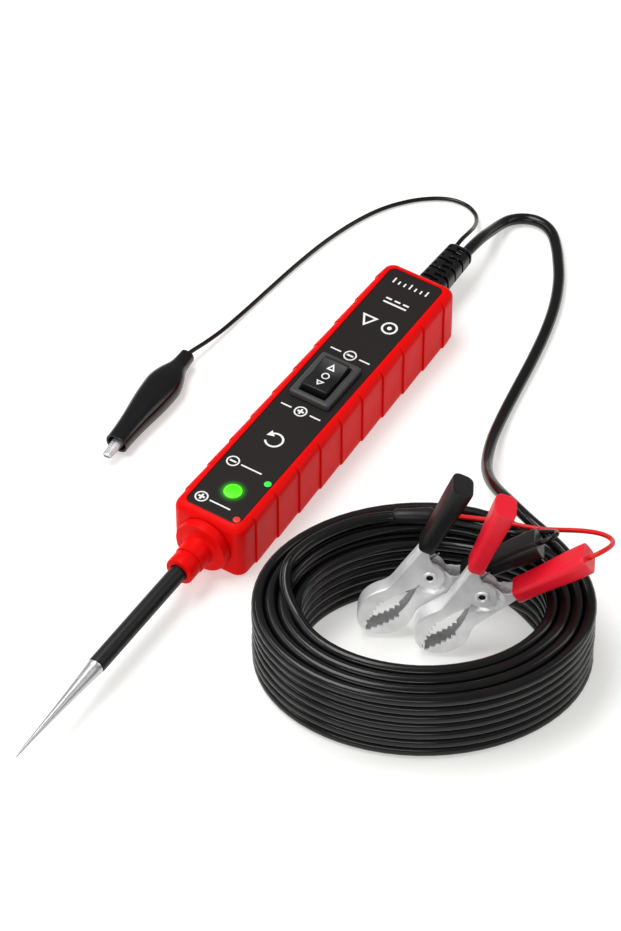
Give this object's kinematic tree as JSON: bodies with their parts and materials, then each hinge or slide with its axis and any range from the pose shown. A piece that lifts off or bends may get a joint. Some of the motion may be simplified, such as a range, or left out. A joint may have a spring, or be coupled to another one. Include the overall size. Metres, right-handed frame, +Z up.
{
  "type": "automotive test light",
  "caption": "Powered circuit tester for vehicles: ribbed handle with a rocker switch, lamps and a steel probe, a coiled cord with battery clamps, and a ground lead with a booted clip.",
  "frame": {"origin": "on the surface that the handle lies on, below the middle of the box of handle, probe and strain relief", "axes": "+X from the cord's end of the handle to the probe's tip, +Y across the handle, +Z up through the face panel"},
  "size_m": [0.2985, 0.1881, 0.0629],
  "materials": {
    "red_plastic": "moulded red plastic, satin",
    "black_plastic": "moulded black plastic",
    "panel_black": "satin black face panel",
    "switch_grey": "dark grey moulded plastic",
    "steel": "polished steel",
    "nickel": "bright nickel plating",
    "brass": "stamped brass",
    "cord_black": "glossy black cord sheath",
    "vinyl_red": "glossy dipped vinyl",
    "lead_red": "red lead sheath",
    "lamp_green": "clear green lamp",
    "lamp_red": "clear red lamp",
    "board_green": "green board"
  },
  "bodies": {
    "tester": {"housing": "red_plastic", "bottom_cover": "red_plastic", "cover_screw_1": "steel", "cover_screw_2": "steel", "cover_screw_3": "steel", "cover_screw_4": "steel", "face_panel": "panel_black", "probe_rod": "steel", "probe_sleeve": "black_plastic", "nose_cap": "red_plastic", "switch_frame": "switch_grey", "switch_terminal_1": "brass", "switch_terminal_2": "brass", "switch_terminal_3": "brass", "main_lamp": "lamp_green", "green_lamp": "lamp_green", "red_lamp": "lamp_red", "circuit_board": "board_green", "trip_breaker": "steel", "strain_relief": "black_plastic", "main_cord": "cord_black", "cord_coil": "cord_black", "cord_tail": "cord_black", "lead_junction": "black_plastic", "black_lead": "cord_black", "red_lead": "lead_red", "ground_lead": "cord_black", "ground_boot": "black_plastic", "ground_rivet": "nickel", "black_lower_jaw": "nickel", "black_clamp_rivet": "nickel", "black_clamp_spring": "steel", "black_lower_grip": "black_plastic", "red_lower_jaw": "nickel", "red_clamp_rivet": "nickel", "red_clamp_spring": "steel", "red_lower_grip": "vinyl_red"},
    "rocker": {"rocker": "black_plastic"},
    "black_clamp_upper": {"black_upper_jaw": "nickel", "black_upper_grip": "black_plastic"},
    "red_clamp_upper": {"red_upper_jaw": "nickel", "red_upper_grip": "vinyl_red"},
    "ground_clip_upper": {"ground_jaw_upper": "nickel"},
    "ground_clip_lower": {"ground_jaw_lower": "nickel"}
  },
  "joints": [
    {"name": "rocker_tilt", "type": "hinge", "parent": "tester", "child": "rocker", "pos_m": [-0.04465, 0, 0.0208], "axis": [0, 1, 0], "range_deg": [-9, 9], "stiffness_Nm_per_rad": 0.03},
    {"name": "black_clamp_open", "type": "hinge", "parent": "tester", "child": "black_clamp_upper", "pos_m": [0.00894, 0.07274, 0.0246], "axis": [-0.8575, -0.4894, -0.1588], "range_deg": [0, 30], "stiffness_Nm_per_rad": 0.5},
    {"name": "red_clamp_open", "type": "hinge", "parent": "tester", "child": "red_clamp_upper", "pos_m": [0.0081, 0.09133, 0.0264], "axis": [-0.8795, -0.4646, -0.103], "range_deg": [0, 30], "stiffness_Nm_per_rad": 0.5},
    {"name": "ground_clip_upper_open", "type": "hinge", "parent": "tester", "child": "ground_clip_upper", "pos_m": [-0.01672, -0.05277, 0.0043], "axis": [0, 0, 1], "range_deg": [0, 3], "stiffness_Nm_per_rad": 0.02},
    {"name": "ground_clip_lower_open", "type": "hinge", "parent": "tester", "child": "ground_clip_lower", "pos_m": [-0.01672, -0.05277, 0.0043], "axis": [0, 0, 1], "range_deg": [-3, 0], "stiffness_Nm_per_rad": 0.02}
  ],
  "couplings": [
    {"joint": "ground_clip_lower_open", "follows": "ground_clip_upper_open", "ratio": -1}
  ]
}
